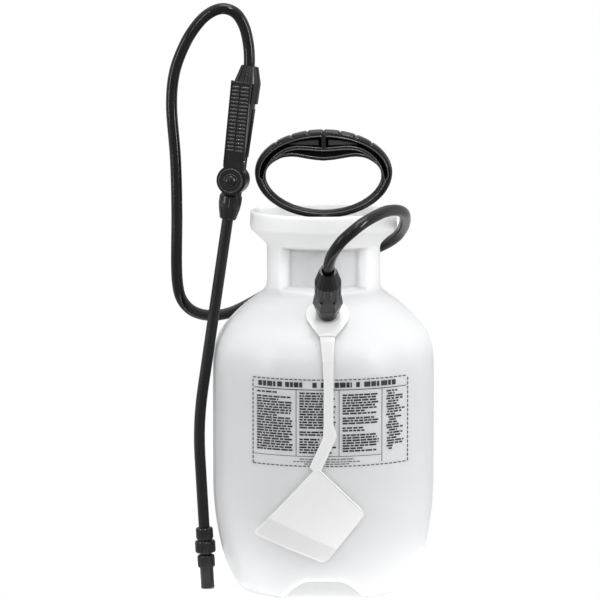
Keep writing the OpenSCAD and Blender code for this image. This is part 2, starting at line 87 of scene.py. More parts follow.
def bevel(o, w, seg=2, angle=32):
    m = o.modifiers.new("edge", "BEVEL"); m.width = w * MM; m.segments = seg
    m.limit_method = "ANGLE"; m.angle_limit = math.radians(angle); m.harden_normals = False
    m.use_clamp_overlap = True
    return o

def sharp(o, angle=35):
    o.data.set_sharp_from_angle(angle=math.radians(angle))

def prism(name, poly, y0, y1, M=None):
    n = len(poly)
    v = [(p[0], y0, p[1]) for p in poly] + [(p[0], y1, p[1]) for p in poly]
    f = [list(range(n - 1, -1, -1)), list(range(n, 2 * n))] + [[i, (i + 1) % n, n + (i + 1) % n, n + i] for i in range(n)]
    return make(name, v, f, M, smooth=False)

def lathe(name, prof, n=96, M=None):
    """Revolved closed form; a profile point at r = 0 closes on the axis."""
    v, f, rows = [], [], []
    for r, z in prof:
        if r < 1e-6:
            rows.append([len(v)]); v.append((0, 0, z))
        else:
            rows.append([len(v) + j for j in range(n)])
            v += [(r * math.cos(2 * math.pi * j / n), r * math.sin(2 * math.pi * j / n), z) for j in range(n)]
    loop = prof[0][0] > 1e-6
    pairs = list(zip(rows[:-1], rows[1:])) + ([(rows[-1], rows[0])] if loop else [])
    for a, b in pairs:
        for j in range(n):
            k = (j + 1) % n
            if len(a) == 1 and len(b) == 1: continue
            if len(a) == 1: f.append([a[0], b[j], b[k]])
            elif len(b) == 1: f.append([a[j], b[0], a[k]])
            else: f.append([a[j], b[j], b[k], a[k]])
    return make(name, v, f, M)

def smoothstep(a, b, x):
    t = max(0.0, min(1.0, (x - a) / (b - a))); return t * t * (3 - 2 * t)

def tube(name, pts, r, n=16, M=None):
    """Round rod along a line, closed with small domes."""
    v, f = [], []; u = None; m = len(pts)
    rad = [r] * m
    t0, t1 = (pts[1] - pts[0]).normalized(), (pts[-1] - pts[-2]).normalized()
    P = [pts[0] - t0 * r * 0.6] + list(pts) + [pts[-1] + t1 * r * 0.6]; rad = [r * 0.55] + rad + [r * 0.55]
    for i, p in enumerate(P):
        t = (P[min(i + 1, len(P) - 1)] - P[max(i - 1, 0)]).normalized()
        if u is None: u = t.orthogonal().normalized()
        u = (u - t * u.dot(t)).normalized(); w_ = t.cross(u)
        for j in range(n):
            a = 2 * math.pi * j / n; v.append(tuple(p + (u * math.cos(a) + w_ * math.sin(a)) * rad[i]))
    for i in range(len(P) - 1):
        for j in range(n): f.append([i * n + j, i * n + (j + 1) % n, (i + 1) * n + (j + 1) % n, (i + 1) * n + j])
    f.append(list(range(n - 1, -1, -1))); f.append([(len(P) - 1) * n + j for j in range(n)])
    return make(name, v, f, M)

def catmull(P, n):
    Q = [tuple(2 * a - b for a, b in zip(P[0], P[1]))] + list(P) + [tuple(2 * a - b for a, b in zip(P[-1], P[-2]))]
    out = []
    for i in range(len(P) - 1):
        a, b, c, d = (Vector(q) for q in Q[i:i + 4])
        for k in range(n):
            t = k / n
            out.append(0.5 * (2 * b + (c - a) * t + (2 * a - 5 * b + 4 * c - d) * t * t + (3 * b - a - 3 * c + d) * t ** 3))
    out.append(Vector(P[-1]))
    return out

# ---------------------------------------------------------------- materials
def plastic(name, base, rough=0.4, rvar=0.08, bump=0.15, bscale=900, cvar=0.06, cscale=25, spec=0.5, sss=0.0, srad=(1, 1, 1), sscale=0.006,
            coat=0.0, stretch=(1, 1, 1), metal=0.0, aniso=0.0, bdist=0.0002):
    m = bpy.data.materials.new(name); m.use_nodes = True
    nt = m.node_tree; b = nt.nodes["Principled BSDF"]
    b.inputs["Metallic"].default_value = metal
    b.inputs["Specular IOR Level"].default_value = spec
    b.inputs["Coat Weight"].default_value = coat
    b.inputs["Coat Roughness"].default_value = 0.12
    if sss:
        b.inputs["Subsurface Weight"].default_value = sss
        b.inputs["Subsurface Radius"].default_value = srad
        b.inputs["Subsurface Scale"].default_value = sscale
    tc = nt.nodes.new("ShaderNodeTexCoord")
    mp = nt.nodes.new("ShaderNodeMapping"); mp.inputs["Scale"].default_value = stretch
    nt.links.new(tc.outputs["Object"], mp.inputs["Vector"])
    n1 = nt.nodes.new("ShaderNodeTexNoise"); n1.inputs["Scale"].default_value = bscale; n1.inputs["Detail"].default_value = 3
    n2 = nt.nodes.new("ShaderNodeTexNoise"); n2.inputs["Scale"].default_value = cscale; n2.inputs["Detail"].default_value = 4
    nt.links.new(mp.outputs[0], n1.inputs["Vector"]); nt.links.new(tc.outputs["Object"], n2.inputs["Vector"])
    mr = nt.nodes.new("ShaderNodeMapRange"); mr.inputs["To Min"].default_value = max(0.02, rough - rvar); mr.inputs["To Max"].default_value = rough + rvar
    mr.inputs["From Min"].default_value = 0.3; mr.inputs["From Max"].default_value = 0.7
    nt.links.new(n2.outputs["Fac"], mr.inputs["Value"]); nt.links.new(mr.outputs[0], b.inputs["Roughness"])
    cr = nt.nodes.new("ShaderNodeValToRGB")
    lo = [max(0, c * (1 - cvar)) for c in base]; hi = [min(1, c * (1 + cvar)) for c in base]
    cr.color_ramp.elements[0].color = (*lo, 1); cr.color_ramp.elements[0].position = 0.35
    cr.color_ramp.elements[1].color = (*hi, 1); cr.color_ramp.elements[1].position = 0.65
    nt.links.new(n2.outputs["Fac"], cr.inputs["Fac"]); nt.links.new(cr.outputs["Color"], b.inputs["Base Color"])
    if bump:
        bp = nt.nodes.new("ShaderNodeBump"); bp.inputs["Strength"].default_value = bump; bp.inputs["Distance"].default_value = bdist
        nt.links.new(n1.outputs["Fac"], bp.inputs["Height"]); nt.links.new(bp.outputs["Normal"], b.inputs["Normal"])
    return m

M_TANK = plastic("tank_hdpe", (0.85, 0.856, 0.86), rough=0.36, rvar=0.05, bump=0.05, bscale=260, cvar=0.012, cscale=14, sss=0.8, srad=(1.0, 0.97, 0.93), sscale=0.02, spec=0.4)
M_BLACK = plastic("black_textured", (0.0065, 0.0065, 0.007), rough=0.3, rvar=0.08, spec=0.42, bump=0.14, bscale=1500, cvar=0.2, cscale=60)
M_GLOSS = plastic("black_moulded", (0.005, 0.005, 0.0055), rough=0.24, spec=0.34, rvar=0.08, bump=0.16, bscale=700, cvar=0.15, cscale=40)
M_HOSE = plastic("hose_vinyl", (0.004, 0.004, 0.0045), rough=0.13, spec=0.3, rvar=0.04, bump=0.16, bscale=520, cvar=0.15, cscale=80)
M_WAND = plastic("wand_black", (0.005, 0.005, 0.0055), rough=0.3, spec=0.34, rvar=0.06, bump=0.2, bscale=900, stretch=(1, 1, 0.06), cvar=0.15)
M_RUBBER = plastic("seal_rubber", (0.02, 0.02, 0.02), rough=0.62, rvar=0.08, bump=0.3, bscale=1200, cvar=0.15)
M_INNER = plastic("inner_moulded", (0.06, 0.06, 0.065), rough=0.45, bump=0.2, bscale=1100)
M_TUBE = plastic("clear_white_tube", (0.80, 0.81, 0.80), rough=0.3, bump=0.08, bscale=500, cvar=0.02, sss=0.4, sscale=0.004)
M_STEEL = plastic("steel_wire", (0.55, 0.55, 0.57), rough=0.25, bump=0.1, bscale=1500, metal=1.0, cvar=0.05)
M_BRASS = plastic("brass_turned", (0.72, 0.52, 0.22), rough=0.25, bump=0.1, bscale=1500, metal=1.0, cvar=0.05)
M_CARD = plastic("tag_film", (0.66, 0.665, 0.66), rough=0.34, rvar=0.01, bump=0.04, bscale=90, cvar=0.01, sss=0.25, sscale=0.002)
M_INK = plastic("printed_ink", (0.008, 0.008, 0.01), rough=0.5, bump=0.1, bscale=1600, cvar=0.25, cscale=300)
# the lever's black plastic made lighter (0.012 against 0.005), for the lever ribs: painted highlight
M_RIB_PAINTED_HIGHLIGHT = plastic("grip_rib_painted_highlight", (0.012, 0.012, 0.0125), rough=0.2, rvar=0.05, spec=0.9, bump=0.08, bscale=1400, cvar=0.2, cscale=60)
M_EDGE = plastic("black_edges", (0.005, 0.005, 0.0055), rough=0.24, rvar=0.07, spec=0.4, bump=0.12, bscale=1500, cvar=0.2, cscale=60)
# the grip's black plastic made lighter (0.03 against 0.005), for the grip lips and ridges and the lever disc beads:
# painted highlight
M_LIP_PAINTED_HIGHLIGHT = plastic("grip_lip_painted_highlight", (0.03, 0.03, 0.031), rough=0.22, rvar=0.05, spec=0.9, bump=0.08, bscale=900, cvar=0.15)
# the grip's black plastic made lighter (0.035 against 0.005) for the gussets in the pockets: painted light
M_GUSSET_PAINTED_LIGHT = plastic("grip_gusset_painted_light", (0.035, 0.035, 0.036), rough=0.5, rvar=0.06, spec=0.3, bump=0.15, bscale=1200, cvar=0.2)
# a darker copy of the tag's colour for a strip along its crease: painted shade
M_TAG_FOLD_PAINTED_SHADE = plastic("tag_fold_painted_shade", (0.60, 0.605, 0.60), rough=0.32, rvar=0.04, bump=0.05, bscale=90, cvar=0.01, sss=0.2, sscale=0.002)
# a darker, almost non-reflective copy of the grip plastic for the pocket floors: painted shade
M_PAINTED_SHADE_PIT = plastic("black_recess_painted_shade", (0.004, 0.004, 0.004), rough=0.8, spec=0.06, bump=0.2, bscale=900, cvar=0.2)
M_FLOOR = plastic("floor", (0.9, 0.9, 0.9), rough=0.8, rvar=0.03, bump=0.02, bscale=40, cvar=0.005, cscale=3, spec=0.1)
fb = M_FLOOR.node_tree.nodes["Principled BSDF"]; fb.inputs["Emission Color"].default_value = (1, 1, 1, 1); fb.inputs["Emission Strength"].default_value = 0.30

def paint(o, m):
    if hasattr(o.data, "materials"):
        if len(o.data.materials) == 0: o.data.materials.append(m)
        else:
            for i in range(len(o.data.materials)): o.data.materials[i] = m

def paint_node(name, m, bev=None, seg=2, angle=32):
    o = N[name]
    for s in o.material_slots:
        s.link = "OBJECT"; s.material = m
    if bev: bevel(o, bev, seg, angle)

def own(o, m, body, slot, *nodes):
    paint(o, m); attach(o, body)
    if nodes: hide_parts(*nodes)
    return o

# ---------------------------------------------------------------- hose, the same route as the model's
hose_pts = [(3, -98.8, 268.5), (3, -106, 276.5), (4.5, -117, 286), (8, -126, 294.5), (14, -131.5, 303), (22, -132.5, 310.5),
  (31, -127.5, 317), (40.5, -118, 321.5), (50, -103.5, 324), (59, -85.5, 323), (64.5, -66, 319), (66.5, -42, 313),
  (67, -14, 305.5), (65.5, 12, 297.5), (60.5, 32, 288.5), (49, 50, 279.5), (31, 62.5, 271.5), (9, 70, 263.5), (-14, 72.5, 254.5),
  (-36, 69, 244), (-54, 60.5, 234), (-68, 50, 227.5), (-79.5, 38.5, 224), (-91, 26, 223.5), (-102, 13.5, 226), (-111, 3, 231.5),
  (-117.5, -6, 240.5), (-120.5, -13, 252), (-121.5, -19, 272), (-121, -20, 317), (-122, -20, 360), (-125, -20, 402),
  (-122.5, -20, 430), (-114, -20, 453), (-104, -20, 469), (-94, -20, 478.5), (-83, -20, 482.5), (-72.5, -20, 479), (-65.5, -20, 468.5),
  (-62, -20, 454.5), (-61, -20, 440), (-74.3 + 83.9 * math.sin(math.radians(LEAN)), -20, 342 + 83.9 * math.cos(math.radians(LEAN)))]
hp = catmull(hose_pts, 8)
cu = bpy.data.curves.new("hose_line", "CURVE"); cu.dimensions = "3D"; cu.bevel_depth = 0.00465; cu.bevel_resolution = 8; cu.use_fill_caps = True
sp = cu.splines.new("POLY"); sp.points.add(len(hp) - 1)
for p, q in zip(sp.points, hp): p.co = (*(q * MM), 1)
sp.use_smooth = True
hose = bpy.data.objects.new("hose_line", cu); bpy.context.collection.objects.link(hose)
own(hose, M_HOSE, "tank", "rubber", "hose")

# ---------------------------------------------------------------- tank: one closed shell on a polar grid
outer = [[0, 14], [18, 14], [36, 13.4], [44, 10.4], [49, 6.2], [52.5, 2.4], [56, 0.4], [60, 0], [66, 0], [70, 0.4], [74, 2], [77, 5], [79, 9.5], [80.6, 15],
  [83, 24], [85.5, 34], [88, 46], [90, 58], [91.4, 71], [92.15, 84], [92.2, 96], [92.2, 184], [91.9, 192], [90.9, 200],
  [89.2, 206.5], [86.6, 212.7], [83, 218.4], [78, 224.6], [72, 230.9], [66, 236.3], [60, 241.1], [55, 244.7], [51, 247.7], [48.6, 250.4], [47.4, 253.4],
  [47, 257], [47, 283], [47.2, 285.6], [48.2, 288], [50.5, 290.6], [57, 296.6], [59.6, 299.2], [60.7, 301], [61, 303], [61, 312], [60.8, 313.7], [60.1, 314.7],
  [59.3, 315], [58.6, 314.7], [58.1, 313.8], [58, 312.5], [58, 304], [57.2, 301.6], [55, 299], [47.5, 291.9], [46, 290.7], [44, 290.1], [36.4, 290], [35.3, 289.6], [34.8, 288.6],
  [34.8, 251], [35.3, 249.8], [36.3, 249.4]]
inner = [[43, 249.4], [46, 248.6], [48.8, 246], [53.6, 242.4], [58.6, 238.9], [64.4, 234.3], [70.3, 228.9], [76.1, 222.6], [80.8, 216.6], [84.2, 211], [86.6, 204.9],
  [88.4, 199.2], [89.4, 192.6], [89.8, 184], [89.8, 88], [89, 71], [87.5, 58], [85.5, 46], [83, 33.6], [80.5, 24.6], [78, 15.6], [76.4, 10], [74.6, 6.2], [72.2, 3.8], [69, 2.6],
  [57, 2.6], [53, 6], [45, 12.6], [35, 16.4], [0, 16.4]]

def dense(P, step):
    out = []
    for a, b in zip(P[:-1], P[1:]):
        d = math.hypot(b[0] - a[0], b[1] - a[1]); k = max(1, int(math.ceil(d / step)))
        out += [[a[0] + (b[0] - a[0]) * i / k, a[1] + (b[1] - a[1]) * i / k] for i in range(k)]
    return out + [P[-1]]

def rounded(P, n=3):
    """Catmull-Rom through the profile where points are close, so that it has no corners."""
    Q = [P[0]] + P + [P[-1]]; out = []
    for i in range(len(P) - 1):
        a, b, c, d = Q[i], Q[i + 1], Q[i + 2], Q[i + 3]
        L = math.hypot(c[0] - b[0], c[1] - b[1])
        if L > 14:
            k = int(L / 3) + 1
            out += [[b[0] + (c[0] - b[0]) * j / k, b[1] + (c[1] - b[1]) * j / k] for j in range(k)]; continue
        la, lc = math.hypot(b[0] - a[0], b[1] - a[1]) or L, math.hypot(d[0] - c[0], d[1] - c[1]) or L
        for j in range(n):
            t = j / n; h00 = 2 * t ** 3 - 3 * t * t + 1; h10 = t ** 3 - 2 * t * t + t; h01 = 1 - h00; h11 = t ** 3 - t * t
            m0 = [(c[q] - a[q]) / (la + L) * L for q in (0, 1)]; m1 = [(d[q] - b[q]) / (lc + L) * L for q in (0, 1)]
            out.append([max(0, h00 * b[q] + h10 * m0[q] + h01 * c[q] + h11 * m1[q]) for q in (0, 1)])
    return out + [P[-1]]

def channel(u, g):
    """Height of the arch across the base at distance u from its middle."""
    a = [(0, 17.5), (10, 17.3), (14, 16.9), (18, 15.4), (22, 12.6), (26, 9.0), (29.5, 4.6), (32, 0), (34, -4), (60, -60)]
    u = abs(u)
    for (p, q), (r, s) in zip(a[:-1], a[1:]):
        if u <= r: return q + (s - q) * (u - p) / (r - p) + g
    return -60
def smax(a, b, k):
    h = max(k - abs(a - b), 0) / k; return max(a, b) + h * h * k / 4

def tank_mesh():
    po, pi_ = rounded(outer, 3), dense(inner, 4)
    prof = [(r, z, 0) for r, z in po] + [(r, z, 1) for r, z in pi_]
    n = 384; v, f, rows = [], [], []
    for r, z, side in prof:
        if r < 1e-6:
            H = channel(0, 2.4 if side else 0)
            rows.append([len(v)]); v.append((0, 0, smax(z, H, 2.0))); continue
        row = []
        for j in range(n):
            th = 2 * math.pi * j / n; rr, zz = r, z
            if side == 0 and 250.5 < z < 288.5 and r > 40:
                az = abs(((math.degrees(th) + 90) % 180) - 0)
                a0 = math.degrees(th) % 180 - 90
                m = 1 - smoothstep(45.5, 50.5, abs(a0))
                mz = smoothstep(251.0, 254.8, z) * (1 - smoothstep(284.2, 288.0, z))
                rr = r - (r - 37.4) * m * mz
            x, y = rr * math.cos(th), rr * math.sin(th)
            if z < 40 and r < 86:
                g = 2.4 if side else 0
                H = smax(channel(x, g), channel(y, g), 5)
                zz = smax(z, H, 5.0) if H > z - 5 else z
            row.append(len(v)); v.append((x, y, zz))
        rows.append(row)
    for a, b in zip(rows[:-1], rows[1:]):
        for j in range(n):
            k = (j + 1) % n
            if len(a) == 1: f.append([a[0], b[j], b[k]])
            elif len(b) == 1: f.append([a[j], b[0], a[k]])
            else: f.append([a[j], b[j], b[k], a[k]])
    return make("tank_moulding", v, f)
tank = own(tank_mesh(), M_TANK, "tank", "hdpe", "tank_shell")
boss = own(lathe("outlet_boss", [(0, -9), (14, -9), (14, -1.2), (13.6, -0.4), (12.8, 0), (6.2, 0), (0, 0)], 72, OUTLET), M_TANK, "tank", "hdpe")


# ---------------------------------------------------------------- printed panel: dashes and plain bars, no lettering
def print_mesh():
    v, f = [], []
    def bar(x0, x1, z0, z1, r=92.27):
        t0, t1 = math.asin(x0 / r), math.asin(x1 / r)
        k = max(1, int(abs(t1 - t0) / math.radians(3)) + 1)
        s = len(v)
        for i in range(k + 1):
            t = t0 + (t1 - t0) * i / k
            for rr in (r - 0.12, r):
                for z in (z0, z1): v.append((rr * math.sin(t), -rr * math.cos(t), z))
        for i in range(k):
            a, b = s + 4 * i, s + 4 * i + 4
            f.extend([[a + 2, b + 2, b + 3, a + 3], [a, a + 1, b + 1, b], [a + 1, a + 3, b + 3, b + 1], [a, b, b + 2, a + 2]])
        e = s + 4 * k
        f.extend([[s, s + 2, s + 3, s + 1], [e, e + 1, e + 3, e + 2]])
    rnd = random.Random(7)
    L, R_, TP, BT = -57.8, 68.6, 185.6, 114.8
    x = L
    while x < R_ - 1: bar(x, min(x + 2.6, R_), TP - 0.42, TP + 0.42); bar(x, min(x + 2.6, R_), BT - 0.42, BT + 0.42); x += 3.7
    z = BT
    while z < TP - 1: bar(L - 0.42, L + 0.42, z, min(z + 2.6, TP)); bar(R_ - 0.42, R_ + 0.42, z, min(z + 2.6, TP)); z += 3.7
    bar(L + 1.2, R_ - 1.2, 177.1, 177.75)
    bar(L + 1.2, 46.6, 122.7, 123.15)
    for xd in (-22.7, 12.2, 47.2): bar(xd - 0.25, xd + 0.25, 123.0 if xd < 40 else 117, 177.4)
    for a, b in ((-53.5, -39.5), (-38, -33), (-31.6, -16.5), (-9.5, -6), (-2.5, 4), (8.6, 22.5), (26, 29), (32.6, 45), (46.4, 58.5)):
        x = a
        while x < b - 1:
            w = min(rnd.uniform(2.2, 5.2), b - x); bar(x, x + w, 179.3, 183.5); x += w + 0.7
    for c0, c1, dens in ((-54.6, -25.4, 0.92), (-20, 10, 0.85), (15, 45, 0.9), (49.6, 66, 0.6)):
        z = 174.6
        while z > 126:
            if rnd.random() < 0.1: z -= 1.6
            end = c0 + (c1 - c0) * (dens + (1 - dens) * rnd.random()) * (0.6 if rnd.random() < 0.14 else 1)
            x = c0 + (rnd.uniform(1, 4) if c0 > 45 else 0)
            while x < end - 0.8:
                w = min(rnd.uniform(1.6, 6.5), end - x); bar(x, x + w, z - 0.68, z + 0.68); x += w + rnd.uniform(0.6, 0.9)
            z -= 2.16
    for z, h in ((120.6, 22), (118.5, 27), (116.7, 18)):
        x = 2 - h
        while x < 2 + h:
            w = min(rnd.uniform(1.6, 5), 2 + h - x + 0.5); bar(x, x + w, z - 0.35, z + 0.35); x += w + 0.7
    return make("printed_panel", v, f, smooth=False)
own(print_mesh(), M_INK, "tank", "black")

# ---------------------------------------------------------------- ring handle
def ell(a, up, dn, q):
    return (a * math.cos(q), (up if math.sin(q) >= 0 else dn) * math.sin(q))
hole_top = [(47.6, 0), (46.5, 3.5), (44, 6.5), (40, 9.5), (34.5, 12.3), (28, 13.2), (22, 12.9), (15, 11.6), (8, 10.4), (0, 9.7)]
hole = hole_top + [(-x, z) for x, z in hole_top[-2::-1]] + [(48.6 * math.cos(math.radians(q)), 31.3 * math.sin(math.radians(q))) for q in range(190, 351, 10)]
def ray_hit(q):
    d = (math.cos(q), math.sin(q)); best = None
    hh = hole + [hole[0]]
    for a, b in zip(hh[:-1], hh[1:]):
        ex, ez = b[0] - a[0], b[1] - a[1]; den = d[0] * ez - d[1] * ex
        if abs(den) < 1e-9: continue
        t = (a[0] * ez - a[1] * ex) / den; s = (a[0] * d[1] - a[1] * d[0]) / den
        if t > 0 and -1e-6 <= s <= 1 + 1e-6: best = t if best is None else min(best, t)
    return best
def handle_mesh():
    n, m = 288, 40
    # smoothed radius of the opening
    hr = [ray_hit(2 * math.pi * i / n) for i in range(n)]
    for _ in range(4): hr = [(hr[i - 1] + 2 * hr[i] + hr[(i + 1) % n]) / 4 for i in range(n)]
    v, f = [], []
    for i in range(n):
        q = 2 * math.pi * i / n
        up = smoothstep(-0.16, 0.1, math.sin(q))
        # outer point along the same ray
        c, s = math.cos(q), math.sin(q); b = 35.3 if s >= 0 else 38.2
        ro = 1 / math.sqrt((c / 57) ** 2 + (s / b) ** 2)
        ri = hr[i]
        for k, x0 in enumerate((-40, -27.5, -13.7, 0, 14, 27.5, 40.5)):
            if s > 0: ro -= 1.15 * math.exp(-((ro * c - x0) / 0.75) ** 2)
        mid, half = (ro + ri) / 2, (ro - ri) / 2
        dep = 4.4 + (8.9 - 4.4) * up
        e = 0.62 - 0.30 * up
        for j in range(m):
            a = 2 * math.pi * j / m
            ca, sa = math.cos(a), math.sin(a)
            rr = mid + half * math.copysign(abs(ca) ** e, ca)
            yy = dep * math.copysign(abs(sa) ** e, sa)
            v.append((rr * c, yy, rr * s + 346.5))
    for i in range(n):
        for j in range(m):
            f.append([i * m + j, ((i + 1) % n) * m + j, ((i + 1) % n) * m + (j + 1) % m, i * m + (j + 1) % m])
    o = make("ring_grip", v, f)
    up_e = [ (52.8 * math.cos(math.radians(t)), 29.9 * math.sin(math.radians(t))) for t in range(2, 89, 3)]
    low = [(1.7, 20.4), (8, 20.9), (16, 21.7), (24, 21.7), (31, 19.9), (37, 16.8), (42, 12.6), (46.3, 6.8), (49.2, 0), (49.9, -5.4)]
    deep = low + [(51.5, -6.4), (53.0, -4.6)] + up_e + [(1.7, 29.9)]
    gus = [(3.9, 22.4), (10, 22.8), (18, 23.0), (28.5, 23.2), (29, 23.8), (20, 25.8), (12, 26.8), (3.9, 27.2)]
    shal_u = [(0, 18.5), (8, 19.0), (16, 19.7), (24, 19.7), (31, 18.0), (36.5, 15.2), (41, 11.4), (44.6, 7.4)]
    shal_l = [(41.6, 10.2), (36, 14.0), (28, 15.7), (22, 15.4), (15, 14.1), (8, 12.9), (0, 12.2)]
    for s in (-1, 1):
        y0, y1 = (-12, -1.6) if s < 0 else (1.6, 12)
        for mx in (-1, 1):
            boolean(o, prism("c", [(mx * x, z + 346.5) for x, z in (deep if mx > 0 else deep[::-1])], y0, y1))
        sh = shal_l[:] + [(-x, z) for x, z in shal_l[-2::-1]] + [(-x, z) for x, z in shal_u[::-1]] + shal_u[1:]
        y0, y1 = (-12, -5.2) if s < 0 else (5.2, 12)
        boolean(o, prism("c", [(x, z + 346.5) for x, z in sh], y0, y1))
    # pocket floors get the darker recess material: painted shade
    o.data.materials.clear(); o.data.materials.append(M_GLOSS); o.data.materials.append(M_PAINTED_SHADE_PIT)
    for p in o.data.polygons:
        p.use_smooth = True
        y_ = abs(p.center.y) / MM
        p.material_index = 1 if abs(p.normal.y) > 0.95 and (1.4 < y_ < 1.8 or 5.0 < y_ < 5.4) else 0
    bevel(o, 0.35, 2, 40); sharp(o, 38)
    for s in (-1, 1):
        for mx in (-1, 1):
            y0, y1 = (-5.6, -1.2) if s < 0 else (1.2, 5.6)
            # gussets in the lighter gusset material: painted light
            g = prism("grip_gusset_%s%s" % ("f" if s < 0 else "b", "l" if mx < 0 else "r"), [(mx * x, z + 346.5) for x, z in gus], y0, y1)
            own(bevel(g, 0.5, 2), M_GUSSET_PAINTED_LIGHT, "plunger", "black_gloss")
    def face_y(x, z):
        q = math.atan2(z, x); c_, s_ = math.cos(q), math.sin(q); b = 35.3 if s_ >= 0 else 38.2
        ro = 1 / math.sqrt((c_ / 57) ** 2 + (s_ / b) ** 2); ri = hr[int(round((q % (2 * math.pi)) / (2 * math.pi) * n)) % n]
        up = smoothstep(-0.16, 0.1, s_); dep = 4.4 + 4.5 * up; e = 0.62 - 0.30 * up
        u = min(1, abs((math.hypot(x, z) - (ro + ri) / 2) / ((ro - ri) / 2))); ca = u ** (1 / e)
        return dep * (1 - ca * ca) ** (e / 2)
    inner_l = catmull([(x, z, 0) for x, z in low[:-1]] + [(50.2, -6.6, 0)], 4)
    outer_l = catmull([(50.2, -6.6, 0), (53.3, -4.8, 0)] + [(x * 1.008, z * 1.012, 0) for x, z in up_e[::3]] + [(1.7, 30.4, 0)], 3)
    wavy = catmull([(-x, z - 0.2, 0) for x, z in shal_u[::-1]] + [(x, z - 0.2, 0) for x, z in shal_u[1:]], 4)
    edge = catmull([(-x, z + 0.1, 0) for x, z in shal_l] + [(x, z + 0.1, 0) for x, z in shal_l[-2::-1]], 4)
    # lips along the pocket edges and the lower ridge, in the lighter lip material: painted highlight
    for s in (-1, 1):
        k = 0
        for line, mxs in ((inner_l, (-1, 1)), (outer_l, (-1, 1)), (wavy, (1,)), (edge, (1,))):
            for mx in mxs:
                k += 1
                pts = [Vector((mx * p[0], s * (face_y(p[0], p[1]) - 0.1), p[1] + 346.5)) for p in line]
                for _ in range(3): pts = [pts[0]] + [(a + 2 * b + c2) / 4 for a, b, c2 in zip(pts[:-2], pts[1:-1], pts[2:])] + [pts[-1]]
                t = tube("grip_lip_%s%d" % ("f" if s < 0 else "b", k), pts, 0.62, 10)
                own(t, M_LIP_PAINTED_HIGHLIGHT, "plunger", "black_gloss")
        pts = []
        for i in range(61):
            q = math.radians(188 + 164 * i / 60); c_, s_ = math.cos(q), math.sin(q)
            ro = 1 / math.sqrt((c_ / 57) ** 2 + (s_ / 38.2) ** 2); ri = hr[int(round((q % (2 * math.pi)) / (2 * math.pi) * n)) % n]
            rm = ri + (ro - ri) * 0.45; pts.append(Vector((rm * c_, s * (face_y(rm * c_, rm * s_) - 0.15), rm * s_ + 346.5)))
        own(tube("grip_ridge_%s" % ("f" if s < 0 else "b"), pts, 0.75, 10), M_LIP_PAINTED_HIGHLIGHT, "plunger", "black_gloss")
    return o
grip = own(handle_mesh(), M_GLOSS, "plunger", "black_gloss", "pump_handle"); grip.data.materials[1] = M_PAINTED_SHADE_PIT
collar = lathe("handle_collar", [(5.6, 297.2), (7.6, 297.2), (8, 297.7), (8, 308), (7.4, 310.8), (6.2, 312.2), (5.6, 312.4), (5.6, 306.2), (0.2, 306.2), (0.2, 305.95), (5.6, 305.95)], 64)
own(collar, M_GLOSS, "plunger", "black_gloss")
for s in (-1, 1):
    lug = prism("handle_lug_%s" % ("l" if s < 0 else "r"), [(s * 6, 297.2), (s * 11.4, 297.2), (s * 11.4, 300.2), (s * 6, 300.2)], -3, 3)
    own(bevel(lug, 0.5, 2), M_GLOSS, "plunger", "black_gloss")

# ---------------------------------------------------------------- CAD nodes that keep their shape
for n_, m_, b_ in (("outlet_body", M_EDGE, 0.5), ("outlet_gasket", M_RUBBER, 0.2), ("outlet_lock_nut", M_EDGE, 0.4), ("outlet_hose_nut", M_EDGE, 0.35),
    ("grip_hose_nut", M_EDGE, 0.35), ("dip_tube", M_TUBE, None), ("intake_filter", M_TUBE, 0.25), ("shutoff_body", M_EDGE, 0.4), ("valve_bonnet", M_EDGE, 0.5),
    ("valve_stem", M_GLOSS, None), ("stem_seal", M_RUBBER, 0.2), ("valve_spring", M_STEEL, None), ("lever", M_EDGE, 0.3), ("lever_pin", M_STEEL, 0.2),
    ("wand_nut", M_EDGE, 0.4), ("wand_o_ring", M_RUBBER, None), ("wand_tube", M_WAND, None), ("nozzle_nut", M_EDGE, 0.3), ("nozzle_body", M_EDGE, 0.3),
    ("swirl_core", M_BRASS, 0.1), ("nozzle_o_ring", M_RUBBER, None), ("nozzle_tip", M_EDGE, 0.3), ("pump_gasket", M_RUBBER, 0.2), ("pump_cap", M_BLACK, 0.4),
    ("pump_barrel", M_TUBE, 0.4), ("rod_guide", M_INNER, 0.3), ("foot_valve_seat", M_INNER, 0.3), ("check_valve", M_RUBBER, 0.3), ("piston_cup", M_RUBBER, 0.3),
    ("piston_head", M_INNER, 0.4), ("piston_retainer", M_INNER, 0.4), ("plunger_rod", M_INNER, None), ("tag_strap", M_CARD, None), ("hang_tag", M_CARD, None)):
    paint_node(n_, m_, b_)

# ---------------------------------------------------------------- rounded grip ribs in a lighter black (painted highlight), disc beads in the lighter lip material (painted highlight), the tag's lip, and a darker strip along the tag's crease (painted shade)
GRIP = T(-74.3, -20, 342) @ Ry(LEAN) @ Rz(-9) @ T(0.4, 0, 12) @ Ry(-1.8) @ T(0, 0, -12)
